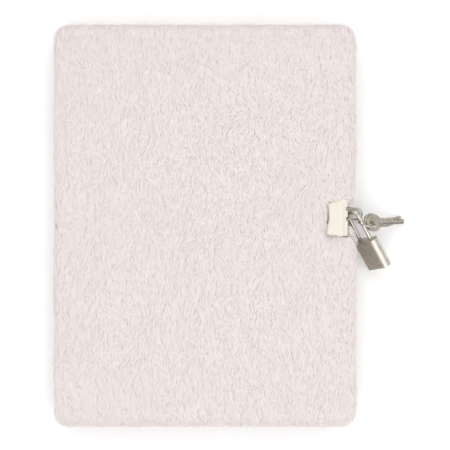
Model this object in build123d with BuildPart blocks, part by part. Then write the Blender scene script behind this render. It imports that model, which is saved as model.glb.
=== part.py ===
from build123d import *
from math import cos, radians, sin
import os

os.makedirs("parts", exist_ok=True)

# A plush-covered diary lying on its back cover, with a small padlock on the front ring and two keys
# beside it. Origin at the middle of the back cover's underside, spine at -X, head at +Y, front cover up.
# Driving dimensions are in millimetres and degrees.

# Covers, over the pile
cover_width = 158.0
cover_height = 210.5
cover_corner_radius = 5.2
pile_depth = 3.2
pile_overhang = 4.5
pile_edge_radius = 2.8
board_thickness = 2.0
board_corner_radius = 1.5
turn_in_width = 12.0
turn_in_thickness = 0.4
paste_thickness = 0.2
paste_margin = 4.0

# Text block
section_count = 8
section_thickness = 1.1
fold_rounding = 0.4
page_square = 4.0
leaf_thickness = 0.15
leaf_gap = 0.05
lining_thickness = 0.8
hollow_gap = 0.2
band_diameter = 1.4

# Strap tabs, each folded round its ring
tab_width = 17.2
tab_length = 11.5
tab_y = 3.1
tab_inset = 4.6
strap_thickness = 0.8
tab_fit = 0.1

# Wire rings
ring_y = 6.0
ring_wire = 1.2
ring_width = 5.6
ring_reach = 9.3
ring_corner_radius = 1.0
front_ring_droop = 30.0
back_ring_droop = 0.0
ring_fit = 0.1
notch_depth = 2.4
notch_margin = 1.0

# Padlock: its lie, its case and its shackle, raised as when it is unlocked
lock_yaw = 28.5
lock_pitch = 17.5
lock_roll = 48.0
hook_reach = 6.4
hook_across = 0.4
hook_below = 1.0
lock_width = 15.0
lock_thickness = 6.0
lock_height = 16.8
lock_corner_radius = 2.9
lock_edge_radius = 0.4
cap_thickness = 1.0
shackle_wire = 2.0
shackle_span = 7.0
shackle_reach = 13.6
shackle_travel = 3.0
toe_clearance = 0.3
toe_hole_depth = 3.2
notch_floor = 0.2
heel_depth = 7.5
heel_bore_depth = 13.4
heel_core = 1.2
bore_fit = 0.1
pin_fit = 0.05
pin_length = 5.2
stop_pin_diameter = 0.9
stop_pin_depth = 5.5
seat_thickness = 0.6
spring_wire = 0.3
spring_diameter = 1.4
spring_turns = 6

# Key plug and the latch bolt that its crank pin drives
plug_diameter = 3.8
plug_length = 8.8
plug_core = 3.0
plug_pin_diameter = 0.8
plug_pin_depth = 12.0
driver_diameter = 1.8
crank_radius = 0.8
crank_pin_diameter = 0.7
crank_rest = -45.0
crank_turn = 90.0
latch_thickness = 0.8
latch_width = 3.0
latch_bite = 0.6
latch_wall = 0.5
keyway_length = 7.0
keyway_fit = 0.1

# Keys and their ring
key_ring_drop = 3.5
key_ring_diameter = 9.2
key_ring_wire = 0.8
key_ring_heading = -13.5
key_ring_tilt = 15.0
key_ring_fit = 0.15
key_places = (60.0, 81.0)
key_heading = 4.5
key_spread = (-1.5, 1.5)
key_slope = 35.0
key_bow = 9.0
key_hole = 3.0
key_hole_offset = 1.5
key_blade_width = 2.6
key_blade_length = 15.0
key_shoulder_drop = 1.1
key_shoulder_length = 4.0
key_shoulder_taper = 4.5
key_thickness = 1.0
key_cut_count = 4
key_cut_depth = 0.7
key_cut_pitch = 2.2
key_cut_start = 4.6
key_groove_width = 0.6
key_groove_depth = 0.25

# Sizes that follow from the driving ones
board_width = cover_width - 2 * pile_overhang
board_height = cover_height - 2 * pile_overhang
shell_depth = pile_depth + board_thickness + turn_in_thickness
cover_depth = shell_depth + paste_thickness
block_thickness = section_count * section_thickness
block_bottom = cover_depth + leaf_thickness + 2 * leaf_gap
block_top = block_bottom + block_thickness
book_thickness = block_top + block_bottom
block_left = pile_overhang + board_thickness + hollow_gap + lining_thickness - cover_width / 2
block_right = board_width / 2 - page_square
block_width = block_right - block_left
block_height = board_height - 2 * page_square

fold_radius = ring_wire / 2 + ring_fit + strap_thickness
fold_x = cover_width / 2 - tab_inset
bar_x = fold_x - fold_radius
bar_depth = pile_depth - fold_radius - tab_fit
tab_left = fold_x - tab_length
ring_half = ring_width / 2

leg_x = shackle_span / 2
wire_radius = shackle_wire / 2
leg_bore = wire_radius + bore_fit
latch_depth = cap_thickness + pin_fit
latch_travel = crank_radius * (cos(radians(crank_rest)) - cos(radians(crank_rest - crank_turn)))
heel_spring_length = heel_bore_depth - seat_thickness - heel_depth


def level(outer, inward, depth):
    return outer + inward * depth


def clasp_notch(outer):
    # Outline of the gap at the fore-edge that the ring and the shackle swing through
    left = board_width / 2 - notch_depth
    right = cover_width / 2 + notch_margin
    with BuildSketch(Plane.XY.offset(outer)) as notch:
        with Locations(((left + right) / 2, tab_y)):
            Rectangle(right - left, tab_width + 2 * tab_fit)
    return notch.sketch


def strap_slot(outer):
    # Outline of the slit that the two ends of the strap go through
    with BuildSketch(Plane.XY.offset(outer)) as slot:
        with Locations((tab_left + strap_thickness, tab_y)):
            Rectangle(2 * (strap_thickness + tab_fit), tab_width + 2 * tab_fit)
    return slot.sketch


def save(piece, name):
    piece.part.label = name
    export_step(piece.part, f"parts/{name}.step")


# Covers: each is the same shell of plush, board and pastedown, built inward from its outer face


def cover_plush(name, outer, inward):
    with BuildPart() as plush:
        with BuildSketch(Plane.XY.offset(outer)):
            RectangleRounded(cover_width, cover_height, cover_corner_radius)
        extrude(amount=inward * shell_depth)
        outer_face = plush.faces().filter_by(Axis.Z).sort_by(lambda face: inward * face.center().Z)[0]
        fillet(outer_face.edges(), radius=pile_edge_radius)
        with BuildSketch(Plane.XY.offset(level(outer, inward, pile_depth))):
            RectangleRounded(board_width, board_height, board_corner_radius)
        extrude(amount=inward * board_thickness, mode=Mode.SUBTRACT)
        with BuildSketch(Plane.XY.offset(level(outer, inward, shell_depth))):
            Rectangle(board_width - 2 * turn_in_width, board_height - 2 * turn_in_width)
        extrude(amount=-inward * turn_in_thickness, mode=Mode.SUBTRACT)
        with BuildSketch(Plane.XY.offset(outer)):
            with Locations((fold_x - tab_length / 2, tab_y)):
                Rectangle(tab_length + 2 * tab_fit, tab_width + 2 * tab_fit)
        extrude(amount=inward * pile_depth, mode=Mode.SUBTRACT)
        extrude(clasp_notch(outer), amount=inward * shell_depth, mode=Mode.SUBTRACT)
    save(plush, name)


def cover_board(name, outer, inward):
    face = level(outer, inward, pile_depth)
    with BuildPart() as board:
        with BuildSketch(Plane.XY.offset(face)):
            RectangleRounded(board_width, board_height, board_corner_radius)
        extrude(amount=inward * board_thickness)
        extrude(strap_slot(face), amount=inward * board_thickness, mode=Mode.SUBTRACT)
        extrude(clasp_notch(face), amount=inward * board_thickness, mode=Mode.SUBTRACT)
    save(board, name)


def pastedown(name, outer, inward):
    # A sheet that lies on the board in the middle and steps up over the turned-in plush
    face = level(outer, inward, pile_depth + board_thickness)
    width = board_width - 2 * paste_margin
    height = board_height - 2 * paste_margin
    inner_width = board_width - 2 * turn_in_width
    inner_height = board_height - 2 * turn_in_width
    with BuildPart() as sheet:
        with BuildSketch(Plane.XY.offset(face)):
            Rectangle(width, height)
        extrude(amount=inward * (turn_in_thickness + paste_thickness))
        with BuildSketch(Plane.XY.offset(face)):
            Rectangle(width, height)
            Rectangle(inner_width, inner_height, mode=Mode.SUBTRACT)
        extrude(amount=inward * turn_in_thickness, mode=Mode.SUBTRACT)
        with BuildSketch(Plane.XY.offset(level(outer, inward, cover_depth))):
            Rectangle(inner_width - 2 * paste_thickness, inner_height - 2 * paste_thickness)
        extrude(amount=-inward * turn_in_thickness, mode=Mode.SUBTRACT)
    save(sheet, name)


def strap_tab(name, outer, inward):
    bar_z = level(outer, inward, bar_depth)
    strap_z = level(outer, inward, pile_depth - strap_thickness)
    board_z = level(outer, inward, pile_depth + board_thickness / 2)
    slot_width = ring_corner_radius + ring_wire / 2 + 2 * ring_fit
    slot_left = bar_x - ring_wire / 2 - ring_fit
    slot_right = fold_x + ring_fit
    arm_y = ring_half - ring_corner_radius - ring_fit + slot_width / 2
    with BuildPart() as tab:
        with BuildSketch(Plane.XZ.offset(-tab_y)):
            with Locations(((tab_left + bar_x) / 2, strap_z)):
                Rectangle(bar_x - tab_left, 2 * strap_thickness)
            with Locations((bar_x, bar_z)):
                Circle(fold_radius)
            make_hull()
            with Locations((tab_left + strap_thickness, board_z)):
                Rectangle(2 * strap_thickness, board_thickness)
            with Locations((bar_x, bar_z)):
                Circle(ring_wire / 2 + ring_fit, mode=Mode.SUBTRACT)
        extrude(amount=tab_width / 2, both=True)
        with BuildSketch(Plane.XY.offset(bar_z)):
            with Locations(
                ((slot_left + slot_right) / 2, ring_y - arm_y),
                ((slot_left + slot_right) / 2, ring_y + arm_y),
            ):
                Rectangle(slot_right - slot_left, slot_width)
        extrude(amount=2 * fold_radius, both=True, mode=Mode.SUBTRACT)
    save(tab, name)


def wire_ring(name, outer, inward, droop):
    # A D of round wire: straight bar in the strap's fold, two arms and a round end
    ring_plane = Plane(
        origin=(bar_x, ring_y, level(outer, inward, bar_depth)),
        x_dir=(cos(radians(droop)), 0, -sin(radians(droop))),
        z_dir=(sin(radians(droop)), 0, cos(radians(droop))),
    )
    bar_half = ring_half - ring_corner_radius
    arm_end = ring_reach - ring_half
    with BuildPart() as ring:
        with BuildLine(ring_plane):
            bar = Line((0, -bar_half), (0, bar_half))
            CenterArc((ring_corner_radius, bar_half), ring_corner_radius, 180, -90)
            Line((ring_corner_radius, ring_half), (arm_end, ring_half))
            CenterArc((arm_end, 0), ring_half, 90, -180)
            Line((arm_end, -ring_half), (ring_corner_radius, -ring_half))
            CenterArc((ring_corner_radius, -bar_half), ring_corner_radius, 270, -90)
        with BuildSketch(Plane(origin=bar @ 0, z_dir=bar % 0)):
            Circle(ring_wire / 2)
        sweep()
    save(ring, name)


cover_faces = (("front", book_thickness, -1, front_ring_droop), ("back", 0, 1, back_ring_droop))
for side, outer, inward, droop in cover_faces:
    cover_plush(f"{side}_plush", outer, inward)
    cover_board(f"{side}_board", outer, inward)
    pastedown(f"{side}_pastedown", outer, inward)
    strap_tab(f"{side}_tab", outer, inward)
    wire_ring(f"{side}_ring", outer, inward, droop)

# Spine: board and plush stand between the two covers
spine_bottom = cover_depth
spine_height = book_thickness - 2 * cover_depth
spine_board_x = pile_overhang + board_thickness / 2 - cover_width / 2
spine_depth = pile_overhang + board_thickness

with BuildPart() as spine_plush:
    with BuildSketch(Plane.XY.offset(spine_bottom)) as spine_outline:
        with Locations((spine_depth / 2 - cover_width / 2, 0)):
            Rectangle(spine_depth, cover_height)
        fillet(spine_outline.vertices().group_by(Axis.X)[0], radius=cover_corner_radius)
        with Locations((spine_board_x, 0)):
            Rectangle(board_thickness, board_height, mode=Mode.SUBTRACT)
    extrude(amount=spine_height)
save(spine_plush, "spine_plush")

with BuildPart() as spine_board:
    with BuildSketch(Plane.XY.offset(spine_bottom)):
        with Locations((spine_board_x, 0)):
            Rectangle(board_thickness, board_height)
    extrude(amount=spine_height)
save(spine_board, "spine_board")

# Text block: sewn sections, a free leaf at each end, the spine lining and its two bands
block_x = (block_left + block_right) / 2
for index in range(section_count):
    with BuildPart() as section:
        with BuildSketch(Plane.XY.offset(block_top - (index + 1) * section_thickness)):
            with Locations((block_x, 0)):
                Rectangle(block_width, block_height)
        extrude(amount=section_thickness)
        fillet(section.edges().filter_by(Axis.Y).group_by(Axis.X)[0], radius=fold_rounding)
    save(section, f"section_{index + 1}")

for name, height in (("front_flyleaf", block_top + leaf_gap), ("back_flyleaf", cover_depth + leaf_gap)):
    with BuildPart() as flyleaf:
        with BuildSketch(Plane.XY.offset(height)):
            with Locations((block_x, 0)):
                Rectangle(block_width, block_height)
        extrude(amount=leaf_thickness)
    save(flyleaf, name)

with BuildPart() as spine_lining:
    with BuildSketch(Plane.XY.offset(block_bottom)):
        with Locations((block_left - lining_thickness / 2, 0)):
            Rectangle(lining_thickness, block_height + 2 * (band_diameter + leaf_gap))
    extrude(amount=block_thickness)
save(spine_lining, "spine_lining")

band_x = block_left + band_diameter / 2 + leaf_gap
band_y = block_height / 2 + band_diameter / 2 + leaf_gap
for name, end in (("headband", 1), ("tailband", -1)):
    with BuildPart() as band:
        with BuildSketch(Plane.XY.offset(block_bottom)):
            with Locations((band_x, end * band_y)):
                Circle(band_diameter / 2)
        extrude(amount=block_thickness)
    save(band, name)

# Where the padlock lies: its shackle hangs on the lower arm of the front ring
yaw = radians(lock_yaw)
pitch = radians(lock_pitch)
roll = radians(lock_roll)
heading = Vector(sin(yaw), -cos(yaw), 0)
lock_down = heading * cos(pitch) - Vector(0, 0, sin(pitch))
lock_level = Vector(cos(yaw), sin(yaw), 0)
lock_rise = heading * sin(pitch) + Vector(0, 0, cos(pitch))
lock_across = lock_level * cos(roll) + lock_rise * sin(roll)
lock_front = lock_rise * cos(roll) - lock_level * sin(roll)
arm_direction = Vector(cos(radians(front_ring_droop)), 0, -sin(radians(front_ring_droop)))
arm_start = Vector(bar_x, ring_y - ring_half, book_thickness - bar_depth)
hook_point = arm_start + arm_direction * hook_reach
bow_center = hook_point - lock_across * hook_across - lock_down * hook_below
shackle_plane = Plane(origin=bow_center, x_dir=lock_across, z_dir=lock_front)
lock_plane = Plane(origin=bow_center + lock_down * shackle_reach, x_dir=lock_across, z_dir=-lock_down)


def lock_depth(depth):
    # Plane across the padlock at a depth below its top
    return lock_plane.offset(-depth)


def pin_plane(x, depth):
    # Plane on the padlock's back face, looking in, for a cross pin
    back = lock_plane.from_local_coords(Vector(x, lock_thickness / 2, -depth))
    return Plane(origin=back, x_dir=lock_plane.x_dir, z_dir=-lock_plane.y_dir)


stop_pin_x = leg_x - heel_core / 2 - pin_fit - stop_pin_diameter / 2
plug_pin_x = -(plug_core / 2 + pin_fit + plug_pin_diameter / 2)
latch_right = crank_radius * cos(radians(crank_rest)) + crank_pin_diameter / 2 + pin_fit + latch_wall
latch_left = latch_travel - leg_x + wire_radius - latch_bite
channel_right = latch_right + pin_fit
plug_top = lock_height - plug_length
latch_floor = latch_depth + latch_thickness + pin_fit

with BuildPart() as shackle:
    with BuildLine(shackle_plane) as shackle_line:
        heel = Line((leg_x, -shackle_reach - heel_depth), (leg_x, 0))
        CenterArc((0, 0), leg_x, 0, 180)
        Line((-leg_x, 0), (-leg_x, toe_clearance - shackle_reach))
    with BuildSketch(Plane(origin=heel @ 0, z_dir=heel % 0)):
        Circle(wire_radius)
    sweep()
    groove_low = stop_pin_depth + stop_pin_diameter / 2 + pin_fit
    groove_high = stop_pin_depth - stop_pin_diameter / 2 - pin_fit - shackle_travel
    with BuildSketch(lock_depth(groove_low)):
        with Locations((leg_x, 0)):
            Circle(wire_radius + bore_fit)
            Circle(heel_core / 2, mode=Mode.SUBTRACT)
    extrude(amount=groove_low - groove_high, mode=Mode.SUBTRACT)
    with BuildSketch(lock_depth(latch_floor + bore_fit - shackle_travel)):
        with Locations((notch_floor + wire_radius - leg_x, 0)):
            Rectangle(2 * wire_radius, 2 * shackle_wire)
    extrude(amount=latch_thickness + 2 * (bore_fit + pin_fit), mode=Mode.SUBTRACT)
save(shackle, "shackle")

with BuildPart() as lock_case:
    with BuildSketch(lock_depth(lock_height)):
        RectangleRounded(lock_width, lock_thickness, lock_corner_radius)
    extrude(amount=lock_height - cap_thickness)
    flat_faces = lock_case.faces().filter_by(lock_plane)
    bottom_face = flat_faces.sort_by(Axis(lock_plane.origin, lock_plane.z_dir))[0]
    fillet(bottom_face.edges(), radius=lock_edge_radius)
    with BuildSketch(lock_depth(cap_thickness)):
        with Locations((leg_x, 0)):
            Circle(leg_bore)
    extrude(amount=cap_thickness - heel_bore_depth, mode=Mode.SUBTRACT)
    with BuildSketch(lock_depth(cap_thickness)):
        with Locations((-leg_x, 0)):
            Circle(leg_bore)
    extrude(amount=cap_thickness - toe_hole_depth, mode=Mode.SUBTRACT)
    with BuildSketch(lock_depth(cap_thickness)):
        with Locations(((channel_right - leg_x) / 2, 0)):
            Rectangle(channel_right + leg_x, latch_width + 2 * pin_fit)
    extrude(amount=cap_thickness - latch_floor, mode=Mode.SUBTRACT)
    with BuildSketch(lock_depth(lock_height)):
        Circle(driver_diameter / 2 + bore_fit)
    extrude(amount=lock_height - cap_thickness, mode=Mode.SUBTRACT)
    with BuildSketch(lock_depth(lock_height)):
        Circle(plug_diameter / 2 + pin_fit)
    extrude(amount=plug_length + pin_fit, mode=Mode.SUBTRACT)
    with BuildSketch(pin_plane(stop_pin_x, stop_pin_depth)):
        Circle(stop_pin_diameter / 2)
    extrude(amount=pin_length, mode=Mode.SUBTRACT)
    with BuildSketch(pin_plane(plug_pin_x, plug_pin_depth)):
        Circle(plug_pin_diameter / 2)
    extrude(amount=pin_length, mode=Mode.SUBTRACT)
save(lock_case, "lock_case")

with BuildPart() as lock_cap:
    with BuildSketch(lock_depth(cap_thickness)):
        RectangleRounded(lock_width, lock_thickness, lock_corner_radius)
    extrude(amount=cap_thickness)
    top_face = lock_cap.faces().filter_by(lock_plane).sort_by(Axis(lock_plane.origin, lock_plane.z_dir))[-1]
    fillet(top_face.edges(), radius=lock_edge_radius)
    with BuildSketch(lock_depth(cap_thickness)):
        with Locations((-leg_x, 0), (leg_x, 0)):
            Circle(leg_bore)
    extrude(amount=cap_thickness, mode=Mode.SUBTRACT)
save(lock_cap, "lock_cap")

pins = (
    ("shackle_pin", stop_pin_x, stop_pin_depth, stop_pin_diameter),
    ("plug_pin", plug_pin_x, plug_pin_depth, plug_pin_diameter),
)
for name, x, depth, diameter in pins:
    with BuildPart() as pin:
        with BuildSketch(pin_plane(x, depth)):
            Circle(diameter / 2)
        extrude(amount=pin_length)
    save(pin, name)

with BuildPart() as spring_seat:
    with BuildSketch(lock_depth(heel_bore_depth)):
        with Locations((leg_x, 0)):
            Circle(wire_radius)
    extrude(amount=seat_thickness)
save(spring_seat, "spring_seat")

spring_rise = heel_spring_length - spring_wire - 2 * pin_fit
spring_foot = lock_plane.from_local_coords(
    Vector(leg_x, 0, spring_wire / 2 + pin_fit + seat_thickness - heel_bore_depth)
)
spring_plane = Plane(origin=spring_foot, x_dir=lock_plane.x_dir, z_dir=lock_plane.z_dir)
with BuildPart() as shackle_spring:
    with BuildLine(spring_plane) as coil:
        Helix(spring_rise / spring_turns, spring_rise, spring_diameter / 2, direction=lock_plane.z_dir)
    with BuildSketch(Plane(origin=coil.line @ 0, z_dir=coil.line % 0)):
        Circle(spring_wire / 2)
    sweep(is_frenet=True)
save(shackle_spring, "shackle_spring")

with BuildPart() as key_plug:
    with BuildSketch(lock_depth(lock_height)):
        Circle(plug_diameter / 2)
    extrude(amount=plug_length)
    with BuildSketch(lock_depth(plug_top)):
        Circle(driver_diameter / 2)
    extrude(amount=plug_top - latch_floor)
    with BuildSketch(lock_depth(latch_floor)):
        with PolarLocations(crank_radius, 1, start_angle=crank_rest):
            Circle(crank_pin_diameter / 2)
    extrude(amount=latch_floor - latch_depth)
    with BuildSketch(lock_depth(plug_pin_depth + plug_pin_diameter / 2 + pin_fit)):
        Circle(plug_diameter / 2)
        Circle(plug_core / 2, mode=Mode.SUBTRACT)
    extrude(amount=plug_pin_diameter + 2 * pin_fit, mode=Mode.SUBTRACT)
    with BuildSketch(lock_depth(lock_height)):
        Rectangle(key_blade_width + 2 * keyway_fit, key_thickness + 2 * keyway_fit)
    extrude(amount=keyway_length, mode=Mode.SUBTRACT)
save(key_plug, "key_plug")

crank_x = crank_radius * cos(radians(crank_rest))
crank_high = -crank_radius * sin(radians(crank_turn / 2))
slot_half = crank_pin_diameter / 2 + pin_fit
with BuildPart() as latch_bolt:
    with BuildSketch(lock_depth(latch_depth + latch_thickness)):
        with Locations(((latch_left + latch_right) / 2, 0)):
            Rectangle(latch_right - latch_left, latch_width)
        with Locations((crank_x, (crank_high - crank_radius) / 2)):
            Rectangle(2 * slot_half, crank_high + crank_radius + 2 * slot_half, mode=Mode.SUBTRACT)
    extrude(amount=latch_thickness)
save(latch_bolt, "latch_bolt")

# Key ring on the heel leg, and the two keys that hang on it
leg_point = bow_center + lock_across * leg_x + lock_down * key_ring_drop
ring_heading = radians(key_ring_heading)
ring_tilt = radians(key_ring_tilt)
ring_along = Vector(cos(ring_heading), sin(ring_heading), 0)
ring_beside = Vector(-sin(ring_heading), cos(ring_heading), 0)
ring_fall = ring_beside * sin(ring_tilt) - Vector(0, 0, cos(ring_tilt))
ring_normal = ring_along.cross(ring_fall)
ring_radius = key_ring_diameter / 2
leg_slant = abs(ring_normal.dot(lock_down))
ring_offset = ring_radius - key_ring_wire / 2 - key_ring_fit - wire_radius / leg_slant
ring_center = leg_point + ring_along * ring_offset

with BuildPart(Plane(origin=ring_center, x_dir=ring_along, z_dir=ring_normal)) as key_ring:
    Torus(ring_radius, key_ring_wire / 2)
save(key_ring, "key_ring")


def key_lie(place, spread):
    # Plane of a key: origin in its hole on the ring's wire, X along the blade, which both keys share
    # but for a small spread in that plane
    turn = radians(place)
    slope = radians(key_slope)
    along = Vector(cos(radians(key_heading)), sin(radians(key_heading)), 0)
    blade = along * cos(slope) - Vector(0, 0, sin(slope))
    normal = along * sin(slope) + Vector(0, 0, cos(slope))
    return Plane(
        origin=ring_center + (ring_along * cos(turn) + ring_fall * sin(turn)) * ring_radius,
        x_dir=blade.rotate(Axis((0, 0, 0), normal), spread),
        z_dir=normal,
    )


key_planes = [key_lie(place, spread) for place, spread in zip(key_places, key_spread)]
blade_start = key_hole_offset + key_bow / 2
blade_end = blade_start + key_blade_length
blade_side = key_blade_width / 2
shoulder_side = blade_side + key_shoulder_drop
for index, key_plane in enumerate(key_planes):
    with BuildPart() as key:
        with BuildSketch(key_plane.offset(-key_thickness / 2)):
            with Locations((key_hole_offset, 0)):
                Circle(key_bow / 2)
            with Locations(((key_hole_offset + blade_end) / 2, 0)):
                Rectangle(blade_end - key_hole_offset, key_blade_width)
            Polygon(
                (key_hole_offset, -blade_side),
                (key_hole_offset, -shoulder_side),
                (blade_start + key_shoulder_length, -shoulder_side),
                (blade_start + key_shoulder_length + key_shoulder_taper, -blade_side),
                align=None,
            )
            Circle(key_hole / 2, mode=Mode.SUBTRACT)
            for cut in range(key_cut_count):
                with Locations((blade_start + key_cut_start + cut * key_cut_pitch, blade_side)):
                    Rectangle(key_cut_depth * 2, key_cut_depth * 2, rotation=45, mode=Mode.SUBTRACT)
        extrude(amount=key_thickness)
        with BuildSketch(key_plane.offset(key_thickness / 2)):
            with Locations(((blade_start + blade_end) / 2, -key_blade_width / 4)):
                Rectangle(key_blade_length, key_groove_width)
        extrude(amount=-key_groove_depth, mode=Mode.SUBTRACT)
    save(key, f"key_{index + 1}")
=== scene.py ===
import math

import bmesh
import bpy
import numpy as np
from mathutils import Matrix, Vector


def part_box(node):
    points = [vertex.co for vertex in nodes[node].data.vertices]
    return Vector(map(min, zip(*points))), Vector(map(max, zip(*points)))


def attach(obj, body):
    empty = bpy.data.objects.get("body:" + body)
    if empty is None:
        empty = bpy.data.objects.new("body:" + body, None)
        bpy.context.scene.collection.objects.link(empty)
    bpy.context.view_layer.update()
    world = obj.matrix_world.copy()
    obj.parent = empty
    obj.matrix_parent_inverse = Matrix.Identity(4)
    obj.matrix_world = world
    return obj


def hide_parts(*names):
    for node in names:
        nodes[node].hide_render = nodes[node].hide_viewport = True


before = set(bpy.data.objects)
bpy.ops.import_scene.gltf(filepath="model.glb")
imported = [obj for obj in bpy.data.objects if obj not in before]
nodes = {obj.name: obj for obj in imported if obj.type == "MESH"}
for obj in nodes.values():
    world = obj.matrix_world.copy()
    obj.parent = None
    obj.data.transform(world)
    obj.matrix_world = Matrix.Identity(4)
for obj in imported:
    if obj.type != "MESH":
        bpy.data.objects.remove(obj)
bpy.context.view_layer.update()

mm = 0.001
scene = bpy.context.scene
scene.view_settings.view_transform = "Standard"


def boxMm(node):
    low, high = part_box(node)
    return np.array(low) / mm, np.array(high) / mm


def linked(name, data):
    made = bpy.data.objects.new(name, data)
    scene.collection.objects.link(made)
    return made


# Shader sockets as plain values: sums and products of them add the Math nodes
class Socket:
    def __init__(self, tree, out=None):
        self.tree, self.out = tree, out

    def node(self, kind, settings=(), sockets=(), give=0):
        made = self.tree.nodes.new("ShaderNode" + kind)
        for name, value in dict(settings).items():
            if name == "stops":
                ramp = made.color_ramp
                while len(ramp.elements) < len(value):
                    ramp.elements.new(0.5)
                for stop, (place, colour) in zip(ramp.elements, value):
                    stop.position, stop.color = place, colour
            else:
                setattr(made, name, value)
        for name, value in dict(sockets).items():
            if isinstance(value, Socket):
                self.tree.links.new(value.out, made.inputs[name])
            else:
                made.inputs[name].default_value = value
        return Socket(self.tree, made.outputs[give] if len(made.outputs) else None)

    def maths(self, how, first, second=0.5):
        return self.node("Math", {"operation": how}, {0: first, 1: second})

    def tint(self, share, first, second):
        return self.node("Mix", {"data_type": "RGBA"}, {0: share, 6: first, 7: second}, 2)

    def __add__(self, other):
        return self.maths("ADD", self, other)

    def __sub__(self, other):
        return self.maths("SUBTRACT", self, other)

    def __rsub__(self, other):
        return self.maths("SUBTRACT", other, self)

    def __mul__(self, other):
        return self.maths("MULTIPLY", self, other)


def newFinish(name):
    material = bpy.data.materials.new(name)
    material.use_nodes = True
    material.node_tree.nodes.clear()
    return material, Socket(material.node_tree)


def noise(start, where, scale, detail=3.0, rough=0.5):
    return start.node("TexNoise", {}, {"Vector": where, "Scale": scale, "Detail": detail, "Roughness": rough})


def wave(start, where, way, scale, wobble=0.0):
    sockets = {"Vector": where, "Scale": scale, "Distortion": wobble}
    return start.node("TexWave", {"bands_direction": way}, sockets)


def stretched(start, where, scale):
    return start.node("Mapping", {}, {"Vector": where, "Scale": scale})


def steep(start, value, low, high):
    # black below low, white above high
    return start.node("ValToRGB", {"stops": [(low, rgb(0, 0, 0)), (high, rgb(1, 1, 1))]}, {"Fac": value})


def placedFinish(name):
    # a new finish and the object's own coordinates
    material, start = newFinish(name)
    return material, start, start.node("TexCoord", {}, {}, 3)


def closeFinish(start, colour, rough, bump=None, others=()):
    sockets = {"Base Color": colour, "Roughness": rough, **dict(others)}
    if bump:
        sockets["Normal"] = start.node("Bump", {}, dict(zip(("Height", "Strength", "Distance"), bump)))
    start.node("OutputMaterial", {}, {"Surface": start.node("BsdfPrincipled", {}, sockets)})


def rgb(r, g, b):
    return (r, g, b, 1.0)


# deep: the darker colour of the pile's painted shade at the strands' roots, also mixed in at random by each
# strand's own tone and by the cloth's knit
plushFinish = {"tip": rgb(0.945, 0.871, 0.854), "deep": rgb(0.932, 0.853, 0.836),
               "cloth": rgb(0.94, 0.86, 0.845), "cool": rgb(0.945, 0.882, 0.87),
               "patchSize": 38.0, "knitSize": 900.0}


def makePileFinish():
    material, start, where = placedFinish("plush_pile")
    rise = start.node("Attribute", {"attribute_name": "rise"}, {}, 2)
    own = start.node("Attribute", {"attribute_name": "strand"}, {}, 2)
    patch = noise(start, where, plushFinish["patchSize"], 2.0)
    tip = start.tint(patch, plushFinish["tip"], plushFinish["cool"])
    # painted shade: strands darken towards their roots, deep in the pile; each strand's own random tone mixes
    # in too
    colour = start.tint((1 - rise) * 0.6 + own * 0.4, tip, plushFinish["deep"])
    closeFinish(start, colour, 0.85, None,
                {"Specular IOR Level": 0.2, "Sheen Weight": 0.25, "Sheen Roughness": 0.5})
    return material


def makeClothFinish():
    material, start, where = placedFinish("plush_cloth")
    knit = noise(start, where, plushFinish["knitSize"], 2.0)
    colour = start.tint(knit, plushFinish["cloth"], plushFinish["deep"])
    closeFinish(start, colour, 0.9, (knit, 0.4, 0.0002), {"Specular IOR Level": 0.2})
    return material


strapFinish = {"cream": rgb(0.83, 0.792, 0.703), "warm": rgb(0.812, 0.76, 0.66),
               "grainSize": 2600.0, "cloudSize": 260.0}
threadFinish = {"light": rgb(0.68, 0.62, 0.52), "dark": rgb(0.52, 0.46, 0.36), "twistSize": 900.0}


def makeStrapFinish():
    material, start, where = placedFinish("strap_leatherette")
    grain = start.node("TexVoronoi", {"feature": "DISTANCE_TO_EDGE"},
                       {"Vector": where, "Scale": strapFinish["grainSize"]})
    cloud = noise(start, where, strapFinish["cloudSize"], 3.0)
    colour = start.tint(cloud, strapFinish["cream"], strapFinish["warm"])
    closeFinish(start, colour, cloud * 0.2 + 0.42, (grain, 0.25, 0.00012), {"Specular IOR Level": 0.4})
    return material


def makeThreadFinish():
    material, start, where = placedFinish("strap_thread")
    twist = wave(start, where, "DIAGONAL", threadFinish["twistSize"])
    colour = start.tint(twist, threadFinish["light"], threadFinish["dark"])
    closeFinish(start, colour, 0.7, (twist, 0.5, 0.0001))
    return material


# Nickel, steel and brass: one recipe, with the brushing along a given way and painted shade in the low spots
metalFinish = {
    "lock_nickel": {"bright": rgb(0.77, 0.73, 0.665), "dull": rgb(0.59, 0.545, 0.49),
                    "rough": 0.38, "spread": 0.16, "grain": (1500.0, 1500.0, 1500.0), "depth": 0.00004},
    "ring_nickel": {"bright": rgb(0.68, 0.65, 0.60), "dull": rgb(0.46, 0.43, 0.38),
                    "rough": 0.16, "spread": 0.14, "grain": (900.0, 900.0, 900.0), "depth": 0.00001},
    "shackle_steel": {"bright": rgb(0.70, 0.67, 0.61), "dull": rgb(0.46, 0.42, 0.36),
                      "rough": 0.17, "spread": 0.14, "grain": (700.0, 700.0, 700.0), "depth": 0.00001},
    "key_nickel": {"bright": rgb(0.82, 0.77, 0.68), "dull": rgb(0.54, 0.49, 0.42),
                   "rough": 0.24, "spread": 0.2, "grain": (500.0, 2600.0, 500.0), "depth": 0.00002},
    "pin_steel": {"bright": rgb(0.56, 0.56, 0.55), "dull": rgb(0.38, 0.37, 0.36),
                  "rough": 0.3, "spread": 0.15, "grain": (800.0, 800.0, 800.0), "depth": 0.00001},
    "plug_brass": {"bright": rgb(0.72, 0.56, 0.30), "dull": rgb(0.50, 0.36, 0.17),
                   "rough": 0.28, "spread": 0.15, "grain": (900.0, 900.0, 900.0), "depth": 0.00001},
}
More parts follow.
